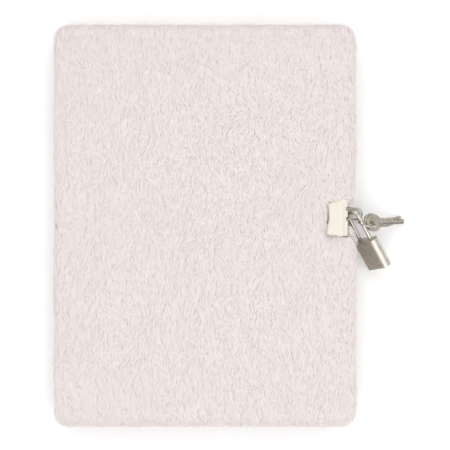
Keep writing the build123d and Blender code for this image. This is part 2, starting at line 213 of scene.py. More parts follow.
# real tarnish, specks and brushing, and the near-black colour, reach and share of the painted shade in the
# low spots
metalWearAndShade = {"tarnishSize": 420.0, "tarnishRough": 0.08, "speckSize": 1300.0, "speckShare": 0.55,
             "brushed": 0.35, "creviceShade": rgb(0.10, 0.085, 0.065), "creviceShadeReach": 0.9 * mm, "creviceShadeShare": 1.5}


def makeMetal(name):
    look, wearAndShade = metalFinish[name], metalWearAndShade
    material, start, where = placedFinish(name)
    brushing = noise(start, stretched(start, where, look["grain"]), 1.0, 3.0, 0.6)
    tarnish = noise(start, where, wearAndShade["tarnishSize"], 4.0, 0.6)
    dulled = start.tint(steep(start, tarnish, 0.38, 0.72), look["bright"], look["dull"])
    speck = steep(start, noise(start, where, wearAndShade["speckSize"], 4.0, 0.7), 0.36, 0.66)
    colour = start.tint(speck * wearAndShade["speckShare"], dulled, look["dull"])
    # painted shade: grooves and holes darkened towards near-black where the object's own occlusion is high
    opening = start.node("AmbientOcclusion", {"only_local": True, "samples": 8},
                         {"Distance": wearAndShade["creviceShadeReach"]}, 1)
    colour = start.tint((1 - opening) * wearAndShade["creviceShadeShare"], colour, wearAndShade["creviceShade"])
    rough = brushing * look["spread"] + tarnish * wearAndShade["tarnishRough"] + look["rough"] - wearAndShade["tarnishRough"]
    closeFinish(start, colour, rough, (brushing, wearAndShade["brushed"], look["depth"]), {"Metallic": 1.0})
    return material


paperFinish = {"page": rgb(0.90, 0.88, 0.83), "edge": rgb(0.82, 0.79, 0.72), "rule": rgb(0.62, 0.60, 0.62),
               "rulePitch": 7.0 * mm, "ruleWidth": 0.03, "fibreSize": 700.0, "layers": (6.0, 6.0, 9000.0)}
endpaperFinish = {"plain": rgb(0.90, 0.84, 0.825), "speck": rgb(0.86, 0.78, 0.765),
                  "fibreSize": 900.0, "fleckSize": 240.0}
boardFinish = {"light": rgb(0.48, 0.43, 0.36), "dark": rgb(0.34, 0.30, 0.24), "fleckSize": 800.0}
mullFinish = {"thread": rgb(0.84, 0.81, 0.74), "gap": rgb(0.70, 0.66, 0.58), "weaveSize": 700.0}
bandFinish = {"white": rgb(0.93, 0.90, 0.87), "pink": rgb(0.82, 0.58, 0.60),
              "stripeSize": 210.0, "threadSize": 2500.0}


def makePaper():
    material, start, where = placedFinish("page_paper")
    fibre = noise(start, where, paperFinish["fibreSize"], 4.0)
    layers = noise(start, stretched(start, where, paperFinish["layers"]), 1.0, 1.0)
    split = start.node("SeparateXYZ", {}, {0: where}, 1)
    beat = start.maths("FRACT", split * (1 / paperFinish["rulePitch"]))
    line = start.maths("LESS_THAN", beat, paperFinish["ruleWidth"])
    stock = start.tint(layers * 0.7, paperFinish["page"], paperFinish["edge"])
    colour = start.tint(line * 0.6, stock, paperFinish["rule"])
    closeFinish(start, colour, 0.8, (fibre, 0.12, 0.00005), {"Specular IOR Level": 0.3})
    return material


def makeEndpaper():
    material, start, where = placedFinish("endpaper")
    fibre = noise(start, where, endpaperFinish["fibreSize"], 4.0)
    fleck = noise(start, where, endpaperFinish["fleckSize"], 5.0, 0.65)
    colour = start.tint(fleck, endpaperFinish["plain"], endpaperFinish["speck"])
    closeFinish(start, colour, 0.75, (fibre, 0.15, 0.00005), {"Specular IOR Level": 0.3})
    return material


def makeBoard():
    material, start, where = placedFinish("book_board")
    fleck = noise(start, where, boardFinish["fleckSize"], 5.0, 0.7)
    colour = start.tint(fleck, boardFinish["light"], boardFinish["dark"])
    closeFinish(start, colour, 0.9, (fleck, 0.3, 0.0001))
    return material


def makeMull():
    material, start, where = placedFinish("lining_mull")
    warp, weft = (wave(start, where, way, mullFinish["weaveSize"]) for way in "YZ")
    colour = start.tint(warp * weft, mullFinish["thread"], mullFinish["gap"])
    closeFinish(start, colour, 0.9, (warp + weft, 0.4, 0.0001))
    return material


def makeBand():
    material, start, where = placedFinish("woven_band")
    stripe = wave(start, where, "Z", bandFinish["stripeSize"], 0.6)
    thread = noise(start, where, bandFinish["threadSize"], 2.0)
    colour = start.tint(stripe, bandFinish["white"], bandFinish["pink"])
    closeFinish(start, colour, 0.65, (stripe + thread * 0.4, 0.4, 0.0001), {"Sheen Weight": 0.2})
    return material


pileLook, clothLook = makePileFinish(), makeClothFinish()
strapLook, threadLook = makeStrapFinish(), makeThreadFinish()
metals = {name: makeMetal(name) for name in metalFinish}
print("finishes ready:", len(bpy.data.materials))


# Plush: a cloth shell round each board, and its pile as thin tapered strands
coverHigh = boxMm("front_plush")[1]
backLow = boxMm("back_plush")[0]
spineLow, spineHigh = boxMm("spine_plush")
tabLow, tabHigh = boxMm("front_tab")
plush = {
    "pileReach": 4.0,       # from the rim's centre line out to the pile's edge
    "pileTop": 3.4,         # from the rim's centre line up to the pile's face
    "rimRadius": 2.0,
    "rimUnder": 2.2,
    "turnIn": 6.0,          # cloth turned in under the pastedown's edge
    "turnInStep": 0.5,
    "cornerRadius": 4.6,
    "spineRadius": 2.2,
    "notchMouth": 1.2,      # roundings of the notch at the clasp
    "notchRound": 2.2,
    "tabGap": 0.1,
    "tabFlare": 1.4,        # the strap's head edge rises by this towards its fold
    "headOut": 1.0,         # the front cover's cloth reaches this much further at the head
    "sideOut": 0.5,
    "tabSide": 1.0,         # room in the cloth at the strap's slit
    "tabEdge": ((0, 0.12, 0.45, 0.6, 1), (-1.1, -0.4, 1.3, 1.5, 0.8)),
    "spineSet": 0.6,        # the spine's pile lies this far behind the covers' edges
    "spineShort": 1.0,
    "frontDensity": 4.9,    # strands a square millimetre
    "backDensity": 2.6,
    "spineDensity": 1.2,    # times the back's
    "rimDensity": 1.35,     # times the density on the flat
    "frontRimRise": 1.75,   # times the rise on the flat
    "backRimRise": 1.15,
    "frontHeadRise": 0.25,
}
nap = {
    "tuft": (1.9, 3.2),     # across and along the nap
    "length": 6.0,
    "rise": 1.25,
    "width": 0.21,
    "rimSpan": (-75, 90),   # degrees round the rim
    "swirl": ((32.0, 0.22), (10.0, 0.13)),  # width of each swirl, and how far it turns the strands
    "tuftTurn": 0.26,
    "strandTurn": 0.24,
    "riseParts": (0.88, 0.12, 0.12),        # least, a tuft's part and a strand's own part
    "lengthParts": (0.7, 0.15, 0.3),
    "riseWave": (14.0, 0.05),
    "rimWave": (9.0, 0.1),
    "widthOwn": (0.7, 1.25),
    "stray": (0.03, 0.14),  # share of loose strands on the flat and on the rim
    "strayRise": 1.25,
    "strayBend": 0.35,
    "strayWidth": 0.55,
    "strayOut": (0.2, 1.4),
    "lay": 0.82,
    "layBack": 0.45,        # strands that run back over the rim lie this much further
    "under": (0.8, 0.6, 0.8, 0.15),  # rise at the rim's middle, its fall with the tilt and nap, its least
    "middleLay": 0.22,
    "middleRise": 0.9,
    "middleRoom": 0.92,
    "middleGather": (0.07, 0.02),
    "tipGather": (0.17, 0.05),
    "bend": (0.5, 1.0),
    "fuzz": 0.8,
    "rollSlack": 0.8,
    "rollMost": 2.6,        # radians round the rim
    "below": 0.12,
    "topIn": 0.25,
    "topOwn": (-0.2, 0.3),
    "tabOverlap": 1.3,      # strands hang over the strap's edges
    "tabOverlapOwn": (0.3, 1.8),
    "tabIn": 1.1,
    "pulls": 6,
    "pullBack": 0.75,
}


def roundedLoop(corners, radii, step=0.5):
    points, normals = [], []
    count = len(corners)
    for k in range(count):
        here = np.array(corners[k], float)
        before = np.array(corners[k - 1], float) - here
        after = np.array(corners[(k + 1) % count], float) - here
        before, after = before / np.linalg.norm(before), after / np.linalg.norm(after)
        half = math.acos(np.clip(before @ after, -1, 1)) / 2
        reach = radii[k] / math.tan(half)
        bisector = (before + after) / np.linalg.norm(before + after)
        centre = here + bisector * radii[k] / math.sin(half)
        first, last = here + before * reach - centre, here + after * reach - centre
        turn = math.atan2(first[0] * last[1] - first[1] * last[0], first @ last)
        sign = math.copysign(1, turn)
        for part in np.linspace(0, 1, 9):
            c, s = math.cos(turn * part), math.sin(turn * part)
            arm = np.array([first[0] * c - first[1] * s, first[0] * s + first[1] * c])
            points.append(centre + arm)
            normals.append(sign * arm / np.linalg.norm(arm))
    points, normals = np.array(points), np.array(normals)
    dense, facing = [], []
    for k in range(len(points)):
        nextPoint = points[(k + 1) % len(points)]
        steps = max(1, int(np.linalg.norm(nextPoint - points[k]) / step))
        for i in range(steps):
            share = i / steps
            dense.append(points[k] * (1 - share) + nextPoint * share)
            normal = normals[k] * (1 - share) + normals[(k + 1) % len(points)] * share
            facing.append(normal / np.linalg.norm(normal))
    return np.array(dense), np.array(facing)


class Panel:
    # local a, b lie in the panel and h stands up out of its pile
    def __init__(self, origin, axisA, axisB, axisH, halfA, halfB, radius, notch=None):
        self.origin = np.array(origin, float)
        self.axes = np.array([axisA, axisB, axisH], float)
        self.half = np.array([halfA, halfB])
        self.radius, self.notch = radius, notch
        if notch:
            inner, low, high = notch
            corners = [(halfA, high), (halfA, halfB), (-halfA, halfB), (-halfA, -halfB), (halfA, -halfB),
                       (halfA, low), (inner, low), (inner, high)]
            mouth, deep = plush["notchMouth"], plush["notchRound"]
            radii = [mouth] + [radius] * 4 + [mouth, deep, deep]
        else:
            corners = [(halfA, halfB), (-halfA, halfB), (-halfA, -halfB), (halfA, -halfB)]
            radii = [radius] * 4
        self.loop, self.facing = roundedLoop(corners, radii)

    def world(self, local):
        return (self.origin + local @ self.axes) * mm

    def turned(self, local):
        return local @ self.axes

    def outside(self, flat):
        # how far a point lies outside the panel's plain outline, and the way out
        q = np.abs(flat) - (self.half - self.radius)
        over = np.maximum(q, 0)
        far = np.linalg.norm(over, axis=1)
        gap = far + np.minimum(q.max(axis=1), 0) - self.radius
        nearest = q == q.max(axis=1, keepdims=True)
        way = np.where(far[:, None] > 1e-9, over / np.maximum(far, 1e-9)[:, None], nearest)
        return gap, way * np.sign(flat)

    def inNotch(self, flat, left=0.0, below=0.0, above=0.0):
        if not self.notch:
            return np.zeros(len(flat), bool)
        inner, low, high = self.notch
        return (flat[:, 0] > inner + left) & (flat[:, 1] > low + below) & (flat[:, 1] < high - above)

    def notchShare(self, flat):
        # 0 at the notch's lower side, 1 at its upper side
        inner, low, high = self.notch or (0, 0, 1)
        return (flat[:, 1] - low - rim) / (high - low - 2 * rim)

    def rolled(self, flat, height):
        # a point of the unrolled cloth, at a height over it, set back on the panel and round its rim
        gap, way = self.outside(flat)
        beyond = np.maximum(gap, 0)
        angle = np.minimum(beyond / (rim + nap["rollSlack"] * height), nap["rollMost"])[:, None]
        arm = (rim + height)[:, None]
        foot = flat - way * beyond[:, None]
        place = np.hstack([foot + way * arm * np.sin(angle), arm * np.cos(angle)])
        return place, np.hstack([way * np.sin(angle), np.cos(angle)])


reach, top, rim = plush["pileReach"], plush["pileTop"], plush["rimRadius"]
boardEdge = boxMm("front_board")[1][0]
halfWide, halfTall = coverHigh[0] - reach, coverHigh[1] - reach
notchIn = tabLow[0] - plush["tabSide"] - rim
notchSpan = (tabLow[1] - plush["tabGap"] - rim, tabHigh[1] + plush["tabFlare"] + plush["tabGap"] + rim)
headShift = plush["headOut"] / 2
frontPanel = Panel((0, headShift, coverHigh[2] - top), (1, 0, 0), (0, 1, 0), (0, 0, 1),
                   halfWide + plush["sideOut"], halfTall + headShift, plush["cornerRadius"],
                   (notchIn, *(y - headShift for y in notchSpan)))
backPanel = Panel((0, 0, backLow[2] + top), (1, 0, 0), (0, 1, 0), (0, 0, -1),
                  halfWide, halfTall, plush["cornerRadius"], (notchIn, *notchSpan))
spineMiddle, spineHalf = (spineLow[2] + spineHigh[2]) / 2, (spineHigh[2] - spineLow[2]) / 2
spinePanel = Panel((spineLow[0] + top + plush["spineSet"], 0, spineMiddle), (0, 0, 1), (0, 1, 0), (-1, 0, 0),
                   spineHalf - rim, halfTall - plush["spineShort"], plush["spineRadius"])


def meshPiece(name, points, faces, material, smooth=True):
    mesh = bpy.data.meshes.new(name)
    mesh.from_pydata([tuple(p) for p in points], [], [tuple(f) for f in faces])
    mesh.update()
    if smooth:
        mesh.shade_smooth()
    mesh.materials.append(material)
    return linked(name, mesh)


def outward(piece, merge=0.0):
    shape = bmesh.new()
    shape.from_mesh(piece.data)
    if merge:
        bmesh.ops.remove_doubles(shape, verts=shape.verts, dist=merge)
    bmesh.ops.recalc_face_normals(shape, faces=shape.faces)
    shape.to_mesh(piece.data)
    shape.free()


def tubeFaces(start, size, rings):
    # faces between rings of points that follow one another
    faces = []
    for r in range(rings - 1):
        low, high = start + r * size, start + (r + 1) * size
        for k in range(size):
            after = (k + 1) % size
            faces.append((low + k, low + after, high + after, high + k))
    return faces


def endFaces(start, size):
    # a strip's cut end, between the two long sides of its outline
    last = start + size - 1
    return [(start + k, start + k + 1, last - k - 1, last - k) for k in range(size // 2 - 1)]


def sideways(line):
    ahead = np.gradient(line, axis=0)
    ahead /= np.linalg.norm(ahead, axis=1, keepdims=True)
    return np.column_stack([-ahead[:, 1], ahead[:, 0]])


def turnedIn(panel, wide):
    # the outline moved inwards, with its corners kept square where they would fold over
    line = panel.loop - panel.facing * wide
    line = np.clip(line, wide - panel.half, panel.half - wide)
    if panel.notch:
        inner, low, high = panel.notch
        beside = line[:, 0] > inner - wide + 1e-6
        above = panel.loop[:, 1] > (low + high) / 2
        line[beside & above, 1] = np.maximum(line[beside & above, 1], high + wide)
        line[beside & ~above, 1] = np.minimum(line[beside & ~above, 1], low - wide)
    return line


def clothShell(name, panel, turnIn):
    count = len(panel.loop)
    rings = []
    for t in np.radians(np.linspace(90, -90, 13)):
        height = math.sin(t) * (plush["rimUnder"] if t < 0 and turnIn else rim)
        rings.append(np.column_stack([panel.loop + panel.facing * rim * math.cos(t), np.full(count, height)]))
    if turnIn:
        edge = turnedIn(panel, plush["turnIn"])
        for up in (0, plush["turnInStep"]):
            rings.append(np.column_stack([edge, np.full(count, up - plush["rimUnder"])]))
    faces = tubeFaces(0, count, len(rings))
    faces.append(tuple(range(count)))
    faces.append(tuple(range((len(rings) - 1) * count, len(rings) * count))[::-1])
    piece = meshPiece(name, panel.world(np.concatenate(rings)), faces, clothLook)
    outward(piece, 0.001 * mm)
    return piece


def smoothField(seed, size, waves=16):
    chance = np.random.default_rng(seed)
    heading = chance.uniform(0, 2 * np.pi, waves)
    pace = 2 * np.pi / size * chance.uniform(0.6, 1.5, waves)
    start = chance.uniform(0, 2 * np.pi, waves)

    def at(place):
        total = np.zeros(len(place))
        for k in range(waves):
            across = place[:, 0] * np.cos(heading[k]) + place[:, 1] * np.sin(heading[k])
            total += np.sin(across * pace[k] + start[k])
        return total / math.sqrt(waves / 2)
    return at


def tufts(place, spacing, seed):
    # nearest tuft centre among jittered cells, and four random numbers that its strands share
    chance = np.random.default_rng(seed)
    spacing = np.array(spacing)
    low = place.min(axis=0) - 2 * spacing
    cells = np.ceil((np.ptp(place, axis=0) + 4 * spacing) / spacing).astype(int) + 1
    jitter = chance.uniform(0.1, 0.9, (cells[0], cells[1], 2))
    share = chance.uniform(0, 1, (cells[0], cells[1], 4))
    index = np.floor((place - low) / spacing).astype(int)
    best, centre, own = np.full(len(place), np.inf), np.zeros_like(place), np.zeros((len(place), 4))
    for i in (-1, 0, 1):
        for j in (-1, 0, 1):
            cell = np.clip(index + (i, j), 0, cells - 1)
            spot = low + (cell + jitter[cell[:, 0], cell[:, 1]]) * spacing
            gap = np.linalg.norm((spot - place) / spacing, axis=1)
            near = gap < best
            best[near], centre[near] = gap[near], spot[near]
            own[near] = share[cell[near, 0], cell[near, 1]]
    return centre, own


strandForm = {
    "stations": (0.0, 0.42, 0.76, 1.0),     # two wide, one narrow and the tip
    "widths": (0.8, 1.0, 0.7),
    "flatUp": 0.7,          # how far the flat side turns up
    "twist": 0.28,
    "lean": (0.6, 0.12, 0.05, 0.8),         # shading: the pile's way, the strand's own, chance and up
    "outside": 0.25,
}


def strandMesh(name, panel, roots, middles, tips, normals, width, own, material):
    # two quads and a triangle a strand, on seven points
    form = strandForm
    count, pointCount, cornerCount = len(roots), 7, 11
    stations = []
    for s in form["stations"]:
        stations.append(roots * (1 - s) ** 2 + middles * 2 * s * (1 - s) + tips * s * s)
    way = tips - roots
    way /= np.maximum(np.linalg.norm(way, axis=1, keepdims=True), 1e-9)
    chance = np.random.default_rng(count)
    side = np.cross(way, normals + (0, 0, form["flatUp"]))
    side /= np.maximum(np.linalg.norm(side, axis=1, keepdims=True), 1e-9)
    face = np.cross(side, way)
    twist = chance.normal(0, form["twist"], count)[:, None]
    side = side * np.cos(twist) + face * np.sin(twist)
    half = (width / 2)[:, None] * side
    points = np.empty((count, pointCount, 3))
    for k, share in enumerate(form["widths"]):
        points[:, 2 * k] = stations[k] - half * share
        points[:, 2 * k + 1] = stations[k] + half * share
    points[:, 6] = stations[3]
    along, sideOn, uneven, up = form["lean"]
    lean = normals * along + face * sideOn + chance.normal(0, uneven, (count, 3)) + (0, 0, up)
    lean /= np.linalg.norm(lean, axis=1, keepdims=True)
    # every face is wound towards the pile's outside, also where its strand folds back
    front, back = np.array([(0, 1, 3, 2, 2, 3, 5, 4, 4, 5, 6), (2, 3, 1, 0, 4, 5, 3, 2, 6, 5, 4)])
    ends = points[:, [3, 5, 5]] - points[:, [0, 2, 4]], points[:, [2, 4, 6]] - points[:, [1, 3, 4]]
    outside = normals * form["outside"] + (0, 0, 1)
    away = (np.cross(*ends) * outside[:, None]).sum(2) * np.linalg.det(panel.axes) < 0
    pattern = np.where(np.repeat(away, (4, 4, 3), axis=1), back, front)
    loops = (np.arange(count)[:, None] * pointCount + pattern).ravel()
    starts = (np.arange(count)[:, None] * cornerCount + np.array([0, 4, 8])).ravel()
    mesh = bpy.data.meshes.new(name)
    mesh.vertices.add(count * pointCount)
    mesh.vertices.foreach_set("co", panel.world(points.reshape(-1, 3)).astype(np.float32).ravel())
    mesh.loops.add(len(loops))
    mesh.loops.foreach_set("vertex_index", loops.astype(np.int32))
    mesh.polygons.add(len(starts))
    mesh.polygons.foreach_set("loop_start", starts.astype(np.int32))
    rise = np.tile(np.repeat(form["stations"], (2, 2, 2, 1)), count)
    for label, values in (("rise", rise), ("strand", np.repeat(own, pointCount))):
        mesh.attributes.new(label, "FLOAT", "POINT").data.foreach_set("value", values.astype(np.float32))
    # each strand has a cell of the OFBake map to itself
    grid = math.ceil(math.sqrt(count))
    cell = np.column_stack([np.arange(count) % grid, np.arange(count) // grid])
    spot = np.array([(0.15, 0.1), (0.85, 0.1), (0.15, 0.42), (0.85, 0.42),
                     (0.2, 0.72), (0.8, 0.72), (0.5, 0.95)])
    flat = ((cell[:, None, :] + spot) / grid).reshape(-1, 2)
    mesh.uv_layers.new(name="OFBake").uv.foreach_set("vector", flat[loops].astype(np.float32).ravel())
    mesh.update()
    mesh.validate()
    mesh.shade_smooth()
    turned = panel.turned(np.repeat(lean, pointCount, axis=0)).astype(np.float32)
    mesh.attributes.new("custom_normal", "FLOAT_VECTOR", "POINT").data.foreach_set("vector", turned.ravel())
    mesh.materials.append(material)
    return linked(name, mesh)


def growPile(name, panel, density, rimRise, headRise, seed, parts):
    chance = np.random.default_rng(seed)
    inner = panel.half
    area = 4 * inner[0] * inner[1]
    flat = chance.uniform(-1, 1, (int(area * density), 2)) * inner
    keep = (panel.outside(flat)[0] < 0) & ~panel.inNotch(flat)
    flat = flat[keep]
    size = len(flat)
    # strands on the rim, spread by its length and round its half circle
    lowest, highest = nap["rimSpan"]
    stretch = np.linalg.norm(np.roll(panel.loop, -1, axis=0) - panel.loop, axis=1)
    total = stretch.sum()
    rimCount = int(total * rim * math.radians(highest - lowest) * density * plush["rimDensity"])
    pick = chance.choice(len(stretch), rimCount, p=stretch / total)
    share = chance.uniform(0, 1, rimCount)[:, None]
    after = (pick + 1) % len(stretch)
    edge = panel.loop[pick] * (1 - share) + panel.loop[after] * share
    out = panel.facing[pick] * (1 - share) + panel.facing[after] * share
    out /= np.linalg.norm(out, axis=1, keepdims=True)
    tilt = np.radians(chance.uniform(lowest, highest, rimCount))
    c, s = np.cos(tilt)[:, None], np.sin(tilt)[:, None]
    roots = np.concatenate([np.column_stack([flat, np.full(size, rim)]),
                            np.hstack([edge + out * rim * c, rim * s])])
    normals = np.concatenate([np.tile([0.0, 0, 1], (size, 1)), np.hstack([out * c, s])])
    outFlat = np.concatenate([np.tile([1.0, 0], (size, 1)), out])
    along = np.column_stack([-outFlat[:, 1], outFlat[:, 0]])
    outWay = np.concatenate([np.tile([1.0, 0, 0], (size, 1)), np.hstack([out * s, -c])])
    alongWay = np.column_stack([along, np.zeros(len(along))])
    place = np.concatenate([flat, edge + out * rim * (np.pi / 2 - tilt)[:, None]])

    def laid(vector):
        outPart = (vector * outFlat).sum(1, keepdims=True) * outWay
        return outPart + (vector * along).sum(1, keepdims=True) * alongWay

    centre, shared = tufts(place, nap["tuft"], seed + 1)
    count = len(place)
    (wide, wideTurn), (fine, fineTurn) = nap["swirl"]
    swirl = smoothField(seed + 2, wide)(centre) * wideTurn + smoothField(seed + 3, fine)(centre) * fineTurn
    tuftTurn = (shared[:, 0] - 0.5) * nap["tuftTurn"]
    turn = -np.pi / 2 + swirl + tuftTurn + chance.normal(0, nap["strandTurn"], count)
    comb = np.column_stack([np.cos(turn), np.sin(turn)])
    least, tuft, own = nap["riseParts"]
    lift = nap["rise"] * (least + tuft * shared[:, 1] + chance.uniform(-own, own, count))
    lift *= 1 + nap["riseWave"][1] * smoothField(seed + 4, nap["riseWave"][0])(centre)
    least, tuft, own = nap["lengthParts"]
    length = nap["length"] * (least + tuft * shared[:, 2] + chance.uniform(0, own, count))
    stray = chance.uniform(0, 1, count) < np.repeat(nap["stray"], [size, rimCount])
    lift[stray] *= nap["strayRise"]
    lay = np.sqrt(np.maximum(length ** 2 - lift ** 2, 1)) * nap["lay"]
    # on the rim strands stand out further, and lie back over it where the nap runs that way
    against = np.clip(-(comb * outFlat).sum(1), 0, 1)[size:]
    middleRise, fall, fallAgainst, least = nap["under"]
    under = np.clip(middleRise + tilt * (fall + fallAgainst * against), least, 1)
    uneven = 1 + nap["rimWave"][1] * smoothField(seed + 5, nap["rimWave"][0])(edge)
    lift[size:] *= rimRise * (1 + headRise * against) * under * uneven
    lay[size:] *= 1 + nap["layBack"] * against
    gather = centre - place
    middleShift = comb * (lay * nap["middleLay"])[:, None] + gather * nap["middleGather"]
    tipShift = comb * lay[:, None] + gather * nap["tipGather"]
    middles = roots + normals * (lift * nap["middleRise"])[:, None] + laid(middleShift)
    tips = roots + normals * lift[:, None] + laid(tipShift)
    # where the rim follows the panel's outline, strands roll over it instead of standing straight
    plain = np.ones(count, bool)
    plain[size:] = np.abs(panel.outside(edge)[0]) < 0.05
    bent = (chance.uniform(*nap["bend"], count) * np.where(stray, nap["strayBend"], 1))[plain, None]
    over, facing = panel.rolled((place + tipShift)[plain], lift[plain])
    tips[plain] += (over - tips[plain]) * bent
    over = panel.rolled((place + middleShift)[plain], lift[plain] * nap["middleRise"])[0]
    middles[plain] += (over - middles[plain]) * bent
    normals[plain] += facing
    normals /= np.linalg.norm(normals, axis=1, keepdims=True)
    # hold the tips to the pile's outer face, with a little fuzz past it
    for ends, room in ((middles, nap["middleRoom"]), (tips, 1.0)):
        gap, way = panel.outside(ends[:, :2])
        most = reach * room - nap["fuzz"] * 0.5 + np.abs(chance.normal(0, nap["fuzz"], count)) * 0.5
        most[stray] += chance.uniform(*nap["strayOut"], stray.sum()) * (room == 1)
        ends[:, :2] -= np.maximum(gap - most, 0)[:, None] * way
        ceiling = top - nap["topIn"] + chance.uniform(*nap["topOwn"], count)
        ends[:, 2] = np.clip(ends[:, 2], -rim - nap["below"], ceiling)
        # and pull them back off the strap, apart from a short overlap
        over = chance.uniform(*nap["tabOverlapOwn"], count) * nap["tabOverlap"]
        left = rim + plush["tabSide"] + over - nap["tabIn"]
        for _ in range(nap["pulls"]):
            edgeIn = np.interp(panel.notchShare(ends), *plush["tabEdge"])
            deep = panel.inNotch(ends[:, :2], left + edgeIn, rim + 0.5 * over, rim + over)
            ends[deep, :2] = roots[deep, :2] + (ends[deep, :2] - roots[deep, :2]) * nap["pullBack"]
    width = nap["width"] * chance.uniform(*nap["widthOwn"], count) * np.where(stray, nap["strayWidth"], 1)
    own = np.clip(0.5 * shared[:, 3] + 0.5 * chance.uniform(0, 1, count), 0, 1)
    pieces = []
    edges = np.quantile(roots[:, 1], np.linspace(0, 1, len(parts) + 1))
    edges[-1] += 1
    for k, part in enumerate(parts):
        mine = (roots[:, 1] >= edges[k]) & (roots[:, 1] < edges[k + 1])
        strands = [values[mine] for values in (roots, middles, tips, normals, width, own)]
        pieces.append(strandMesh(f"{name}_{part}", panel, *strands, pileLook))
    print(f"{name}: {count} strands in {len(parts)} pieces, {size} on the flat")
    return pieces


fringe = {
    "front": ((-6.4, -0.4), (9.8, 13.6)),   # along the board's edge, clear of the rings
    "back": ((-6.4, 2.3), (4.5, 7.5), (9.7, 13.6)),
    "density": 45,          # strands a millimetre
    "out": (-0.2, 0.4),
    "down": (-1.7, -0.1),
    "turn": (-0.45, 0.4),   # middle and spread
    "length": (2.2, 4.4),
    "climb": (-0.7, 1.5),
    "shorten": (0.6, 3.2, 0.3),             # from where, over what length, to what share
    "pastLow": (0.2, 0.3),
    "pastHigh": (-0.6, 0.7),
    "arch": 0.5,
    "widthOwn": (0.8, 1.3),
}


def growFringe(name, panel, spans, seed):
    # pile at the board's edge beside the ring, pressed flat under the clasp
    chance = np.random.default_rng(seed)
    roots, tips = [], []
    for low, high in spans:
        count = int((high - low) * fringe["density"])
        start = np.column_stack([boardEdge + chance.uniform(*fringe["out"], count),
                                 chance.uniform(low, high, count), chance.uniform(*fringe["down"], count)])
        turn, lay = chance.normal(*fringe["turn"], count), chance.uniform(*fringe["length"], count)
        begin, over, least = fringe["shorten"]
        lay *= np.clip((begin - start[:, 1]) / over, least, 1) if high < 0 else 1
        climb = chance.uniform(*fringe["climb"], count)
        end = start + np.column_stack([np.cos(turn) * lay, np.sin(turn) * lay, climb])
        past, own = fringe["pastLow"]
        lowest = low - past + chance.uniform(0, own, count)
        highest = high + chance.uniform(*fringe["pastHigh"], count)
        end[:, 1] = np.clip(end[:, 1], lowest, highest)
        roots.append(start)
        tips.append(end)
    roots, tips = np.concatenate(roots), np.concatenate(tips)
    count = len(roots)
    middles = (roots + tips) / 2 + (0, 0, fringe["arch"])
    normals = np.tile([0.45, 0, 0.9], (count, 1))
    width = nap["width"] * chance.uniform(*fringe["widthOwn"], count)
    own = chance.uniform(0, 1, count)
    return strandMesh(name, panel, roots, middles, tips, normals, width, own, pileLook)


def dressPlush(side, body, panel, density, rimRise, headRise, seed, parts, spans=()):
    cloth = clothShell(f"{side}_plush_cloth", panel, panel.notch)
    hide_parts(f"{side}_plush")
    hair = growPile(f"{side}_pile", panel, density, rimRise, headRise, seed, parts)
    if spans:
        hair.append(growFringe(f"{side}_pile_fringe", panel, spans, seed + 9))
    for piece in [cloth] + hair:
        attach(piece, body)


thirds = ("tail", "middle", "head")
fifths = ("tail", "waist", "middle", "chest", "head")
frontFringe = [(low - headShift, high - headShift) for low, high in fringe["front"]]
dressPlush("front", "front_cover", frontPanel, plush["frontDensity"], plush["frontRimRise"],
           plush["frontHeadRise"], 11, fifths, frontFringe)
dressPlush("back", "back_cover", backPanel, plush["backDensity"], plush["backRimRise"],
           0.0, 47, thirds, fringe["back"])
dressPlush("spine", "back_cover", spinePanel, plush["backDensity"] * plush["spineDensity"],
           plush["backRimRise"], 0.0, 83, ("all",))


# Strap tabs: one strip folded round the ring's bar, its ends down through the slit in the board
strap = {
    "thickness": 0.8,
    "barInset": 1.5,        # the ring's bar, from the fold's outside and over the board
    "barUp": 1.6,
    "foldRadius": 1.1,
    "foldOver": 1.5,        # from the bar up to the strip's outer face
    "fall": 0.12,           # how fast the upper layer slopes down from the fold
    "shoulder": 0.9,
    "shoulderUp": 1.2,
    "heel": 0.5,            # bend of the lower layer out of the slit
    "endsApart": 0.8,
    "endDown": 1.7,
    "bendDown": 0.5,        # both layers bend from here up
    "edgeSteps": (0, 0.05, 0.16, 0.34),     # rounding of the long edges
    "edgePuff": (0.45, 0.7, 0.9, 1.0),
    "edgeWide": 0.8,
    "stations": 26,
    "rippleSize": 11.0,
    "waver": 0.12,
    "waverUp": 0.3,
    "waverEdge": 0.8,
    "swell": 0.10,
    "swellFrom": (1.0, 0.5),    # begins at this height, full after that much more
    "swellClear": (3.0, 2.0),   # the same from the fold
    "flareLong": 5.0,
    "slantEnd": 70.0,       # the slanted inner edge runs out here
    "slantLong": 5.0,
    "ringMiddle": 6.0,
    "armApart": 2.6,
    "slotLong": 3.0,
    "slotWide": 1.8,
    "slotDeep": 6.0,
    "slotIn": {"front": 0.4, "back": -0.75},
    "stitchIn": 2.1,
    "stitchPitch": 1.5,
    "stitchSpan": (1.1, 0.3),
    "stitchLong": 0.95,
    "stitchSlant": 0.12,
    "stitchUp": 0.05,
    "stitchDip": 0.16,
    "threadThick": 0.42,
}


def eased(share):
    share = np.clip(share, 0, 1)
    return share * share * (3 - 2 * share)


def arc(first, last, count):
    return np.radians(np.linspace(first, last, count))


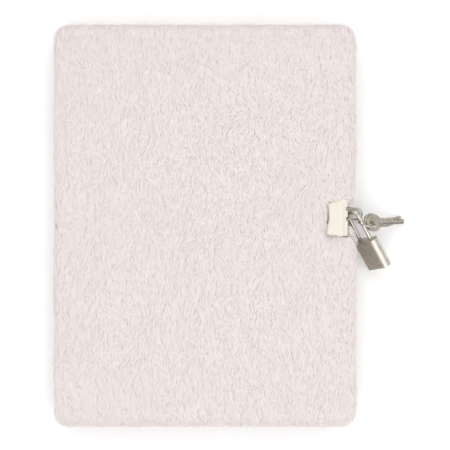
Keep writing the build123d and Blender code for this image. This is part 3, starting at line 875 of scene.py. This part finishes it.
def strapPath():
    # middle line of the strip in x and height over the board, from one end round the fold to the other
    left, right = tabLow[0], tabHigh[0]
    barX, barUp = right - strap["barInset"], strap["barUp"]
    half, fold = strap["thickness"] / 2, strap["foldRadius"]
    heel, bend, bendUp = strap["heel"], strap["shoulder"], strap["shoulderUp"]
    down, slit = -strap["endDown"], -strap["bendDown"]
    inner = left + half + strap["endsApart"]
    line = [(inner, down), (inner, slit)]
    line += [(inner + heel * (1 - math.cos(t)), -0.1 + heel * math.sin(t)) for t in np.radians([30, 60, 90])]
    line += list(zip(np.linspace(left + 3.2, barX - 1, 8), np.linspace(half + 0.01, half + 0.1, 8)))
    line += [(barX + fold * math.sin(t), barUp - fold * math.cos(t)) for t in arc(0, 180, 13)]
    line += list(zip(np.linspace(barX - 1, left + 2.2, 10), np.linspace(barUp + 0.95, 1.32, 10)))
    line += [(left + half + bend - bend * math.sin(t), bendUp - bend * (1 - math.cos(t)))
             for t in arc(15, 90, 4)]
    line += [(left + half, slit), (left + half, down)]
    return np.array(line)


def foldedStrip(side, sign, zero, seed):
    line = strapPath()
    over = sideways(line)
    low, wide, edge = tabLow[1], tabHigh[1] - tabLow[1], strap["edgeWide"]
    stations = [*strap["edgeSteps"], *np.linspace(edge, wide - edge, strap["stations"])]
    stations += [wide - step for step in strap["edgeSteps"][::-1]]
    puff = [*strap["edgePuff"], *[1.0] * strap["stations"], *strap["edgePuff"][::-1]]
    ripple = smoothField(seed, strap["rippleSize"])
    (begin, rise), (clear, run) = strap["swellFrom"], strap["swellClear"]
    points = []
    for y, thick in zip(stations, puff):
        half = strap["thickness"] / 2 * thick
        loop = np.concatenate([line - over * half, (line + over * half)[::-1]])
        sway = ripple(np.column_stack([loop[:, 0], np.full(len(loop), y)])) * strap["waver"]
        swell = strap["swell"] * math.sin(math.pi * y / wide) ** 0.5
        upper = np.clip((loop[:, 1] - begin) / rise, 0, 1)
        upper = upper * np.clip((tabHigh[0] - clear - loop[:, 0]) / run, 0, 1)
        lifted = loop[:, 1] + upper * (swell + strap["waverUp"] * sway)
        inner = np.clip((y - edge) / 2, 0, 1) * np.clip((wide - edge - y) / 2, 0, 1)
        share = y / wide
        flare = plush["tabFlare"] * eased((loop[:, 0] - (tabLow[0] + 0.3)) / strap["flareLong"]) * share ** 3
        across = low + y + (1 - inner) * sway * strap["waverEdge"] + flare
        fading = np.clip((strap["slantEnd"] - loop[:, 0]) / strap["slantLong"], 0, 1)
        slant = np.interp(share, *plush["tabEdge"]) * fading
        points.append(np.column_stack([loop[:, 0] + slant, across, zero + sign * lifted]))
    ringSize = 2 * len(line)
    faces = tubeFaces(0, ringSize, len(stations))
    for r in (0, len(stations) - 1):
        faces += endFaces(r * ringSize, ringSize)
    tab = meshPiece(f"{side}_strap", np.concatenate(points) * mm, faces, strapLook)
    outward(tab)
    return tab


def cutSlots(tab, side, sign, zero):
    # slots for the ring's two arms
    inner = tabHigh[0] - strap["barInset"] + strap["slotIn"][side]
    cutter = bmesh.new()
    for way in (-1, 1):
        made = bmesh.ops.create_cube(cutter, size=1.0)["verts"]
        middle = Vector((inner + strap["slotLong"] / 2, strap["ringMiddle"] + way * strap["armApart"],
                         zero + sign * strap["barUp"])) * mm
        size = Vector((strap["slotLong"], strap["slotWide"], strap["slotDeep"])) * mm
        bmesh.ops.scale(cutter, vec=size, verts=made)
        bmesh.ops.translate(cutter, vec=middle, verts=made)
    mesh = bpy.data.meshes.new("slot_cutter")
    cutter.to_mesh(mesh)
    cutter.free()
    tool = linked("slot_cutter", mesh)
    cut = tab.modifiers.new("slots", "BOOLEAN")
    cut.operation, cut.solver, cut.object = "DIFFERENCE", "EXACT", tool
    bpy.context.view_layer.update()
    whole = bpy.data.meshes.new_from_object(tab.evaluated_get(bpy.context.evaluated_depsgraph_get()))
    tab.modifiers.clear()
    tab.data = whole
    bpy.data.objects.remove(tool)


def stitchRow(side, sign, zero):
    # stitches in a row behind the fold
    atX = tabHigh[0] - strap["stitchIn"]
    behind = strap["stitchIn"] - strap["barInset"]
    level = zero + sign * (strap["barUp"] + strap["foldOver"] - strap["fall"] * behind)
    first, last = strap["stitchSpan"]
    rings, around = 7, 8
    points, faces = [], []
    for y in np.arange(tabLow[1] + first, tabHigh[1] - last, strap["stitchPitch"]):
        start = len(points)
        for part in np.linspace(0, 1, rings):
            taper = (2 * part - 1) ** 4
            fat = strap["threadThick"] / 2 * math.sqrt(max(1 - taper, 0.02))
            up = level + sign * (strap["stitchUp"] - strap["stitchDip"] * taper)
            for k in range(around):
                t = 2 * math.pi * k / around
                points.append((atX + fat * math.cos(t) + strap["stitchSlant"] * (part - 0.5),
                               y + (part - 0.5) * strap["stitchLong"], up + fat * math.sin(t)))
        faces += tubeFaces(start, around, rings)
        faces.append(tuple(range(start, start + around))[::-1])
        faces.append(tuple(range(len(points) - around, len(points))))
    seam = meshPiece(f"{side}_strap_stitches", np.array(points) * mm, faces, threadLook)
    outward(seam)
    return seam


def strapTab(side, body, sign, zero, seed):
    tab = foldedStrip(side, sign, zero, seed)
    cutSlots(tab, side, sign, zero)
    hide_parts(f"{side}_tab")
    seam = stitchRow(side, sign, zero)
    for piece in (tab, seam):
        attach(piece, body)


boardTop = boxMm("front_board")[1][2]
boardFoot = boxMm("back_board")[0][2]
strapTab("front", "front_cover", 1, boardTop, 5)
strapTab("back", "back_cover", -1, boardFoot, 6)
print("strap tabs folded and stitched")


# Pages: each section is five folded sheets, cut a little unevenly at the edges
block = {"sheets": 5, "sections": 8, "frontSections": 4, "leaf": 0.085, "foreUneven": 0.3,
         "endUneven": 0.16, "foldRound": 0.55, "foldNest": 0.09}
pageLook = makePaper()


def gathering(number, body, seed):
    low, high = boxMm(f"section_{number}")
    chance = np.random.default_rng(seed)
    pitch = (high[2] - low[2]) / (2 * block["sheets"])
    middle = (low[2] + high[2]) / 2
    foldX = low[0] + block["foldRound"] + 0.05
    points, faces = [], []
    for k in range(block["sheets"]):
        gap = (k + 0.5) * pitch
        bend = (high[2] - low[2]) / 2 - gap
        upX, downX = high[0] - chance.uniform(0, block["foreUneven"], 2)
        squeeze = (block["foldRound"] - k * block["foldNest"]) / max(bend, 0.05)
        line = [(x, high[2] - gap) for x in np.linspace(upX, foldX, 4)]
        line += [(foldX - bend * squeeze * math.sin(t), middle + bend * math.cos(t)) for t in arc(20, 160, 8)]
        line += [(x, low[2] + gap) for x in np.linspace(foldX, downX, 4)]
        line = np.array(line)
        over = sideways(line) * block["leaf"] / 2
        loop = np.concatenate([line - over, (line + over)[::-1]])
        size, start = len(loop), len(points)
        ends = low[1] + chance.uniform(0, block["endUneven"]), high[1] - chance.uniform(0, block["endUneven"])
        for y in ends:
            points += [(x, y, z) for x, z in loop]
        faces += tubeFaces(start, size, 2) + endFaces(start, size) + endFaces(start + size, size)
    piece = meshPiece(f"section_{number}_leaves", np.array(points) * mm, faces, pageLook, smooth=False)
    outward(piece)
    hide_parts(f"section_{number}")
    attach(piece, body)


for number in range(1, block["sections"] + 1):
    gathering(number, "front_pages" if number <= block["frontSections"] else "back_cover", 200 + number)
print("text block folded")


# CAD nodes that keep their shape take their finishes
nodeFinish = [
    (makeEndpaper(), ("front_pastedown", "back_pastedown", "front_flyleaf", "back_flyleaf")),
    (makeBoard(), ("front_board", "back_board", "spine_board")),
    (makeMull(), ("spine_lining",)),
    (makeBand(), ("headband", "tailband")),
    (metals["ring_nickel"], ("front_ring", "back_ring", "key_ring")),
    (metals["shackle_steel"], ("shackle",)),
    (metals["lock_nickel"], ("lock_case", "lock_cap")),
    (metals["pin_steel"], ("shackle_pin", "plug_pin", "spring_seat", "shackle_spring", "latch_bolt")),
    (metals["plug_brass"], ("key_plug",)),
    (metals["key_nickel"], ("key_1", "key_2")),
]
for material, names in nodeFinish:
    for name in names:
        for slot in nodes[name].material_slots:
            slot.material = material
print("finishes on", sum(len(names) for material, names in nodeFinish), "CAD nodes")


# Floor, light and the camera straight overhead
studio = {
    "floorDrop": 0.3 * mm, "floorSize": 4.0, "floorColour": rgb(0.9, 0.9, 0.9), "floorGlow": 0.18,
    "horizon": 0.26, "zenith": 1.05, "skyTurn": (0.05, 0.7),
    "lens": 300.0, "frameWidth": 0.234, "aim": (10.4 * mm, 0.26 * mm), "clip": (0.01, 20),
    "lampAim": (0, 0, 0.01),
    "lamps": {  # place, size in metres and watts
        "south_key": ((-0.02, -0.63, 0.80), 0.5, 0.95),
        "east_fill": ((0.52, -0.50, 0.80), 0.6, 0.95),
        "north_fill": ((-0.05, 0.82, 0.95), 0.6, 2.15),
    },
}


def sightRays(start):
    path = start.node("LightPath")
    outs = path.out.node.outputs
    seen = Socket(start.tree, outs["Is Camera Ray"]) + Socket(start.tree, outs["Is Glossy Ray"])
    return seen + Socket(start.tree, outs["Is Transmission Ray"])


floorMesh = bpy.data.meshes.new("floor")
size = studio["floorSize"]
corners = ((-1, -1), (1, -1), (1, 1), (-1, 1))
floorMesh.from_pydata([(x * size, y * size, -studio["floorDrop"]) for x, y in corners], [], [(0, 1, 2, 3)])
floor = linked("floor", floorMesh)
floorLook, start = newFinish("floor_paper")
glow = start.node("Emission", {}, {"Color": rgb(1, 1, 1), "Strength": sightRays(start) * studio["floorGlow"]})
matt = start.node("BsdfDiffuse", {}, {"Color": studio["floorColour"]})
start.node("OutputMaterial", {}, {"Surface": start.node("AddShader", {}, {0: glow, 1: matt})})
floorMesh.materials.append(floorLook)

world = bpy.data.worlds.new("studio")
scene.world = world
world.use_nodes = True
world.node_tree.nodes.clear()
start = Socket(world.node_tree)
height = start.node("SeparateXYZ", {}, {0: start.node("TexCoord", {}, {}, 0)}, 2)
low, high = studio["skyTurn"]
level = start.node("MapRange", {"interpolation_type": "SMOOTHSTEP"},
                   {0: height, 1: low, 2: high, 3: studio["horizon"], 4: studio["zenith"]})
sky = start.node("Background", {}, {"Color": rgb(1, 1, 1), "Strength": level})
start.node("OutputWorld", {}, {"Surface": sky})

for name, (place, size, watts) in studio["lamps"].items():
    lamp = bpy.data.lights.new(name, "AREA")
    lamp.shape, lamp.size, lamp.energy = "SQUARE", size, watts
    holder = linked(name, lamp)
    holder.location = place
    holder.rotation_mode = "QUATERNION"
    holder.rotation_quaternion = (Vector(studio["lampAim"]) - Vector(place)).to_track_quat("-Z", "Y")

camera = linked("overhead", bpy.data.cameras.new("overhead"))
camera.data.lens = studio["lens"]
camera.data.clip_start, camera.data.clip_end = studio["clip"]
distance = studio["frameWidth"] * studio["lens"] / camera.data.sensor_width
camera.location = (*studio["aim"], coverHigh[2] * mm + distance)
scene.camera = camera
print("studio and camera set")
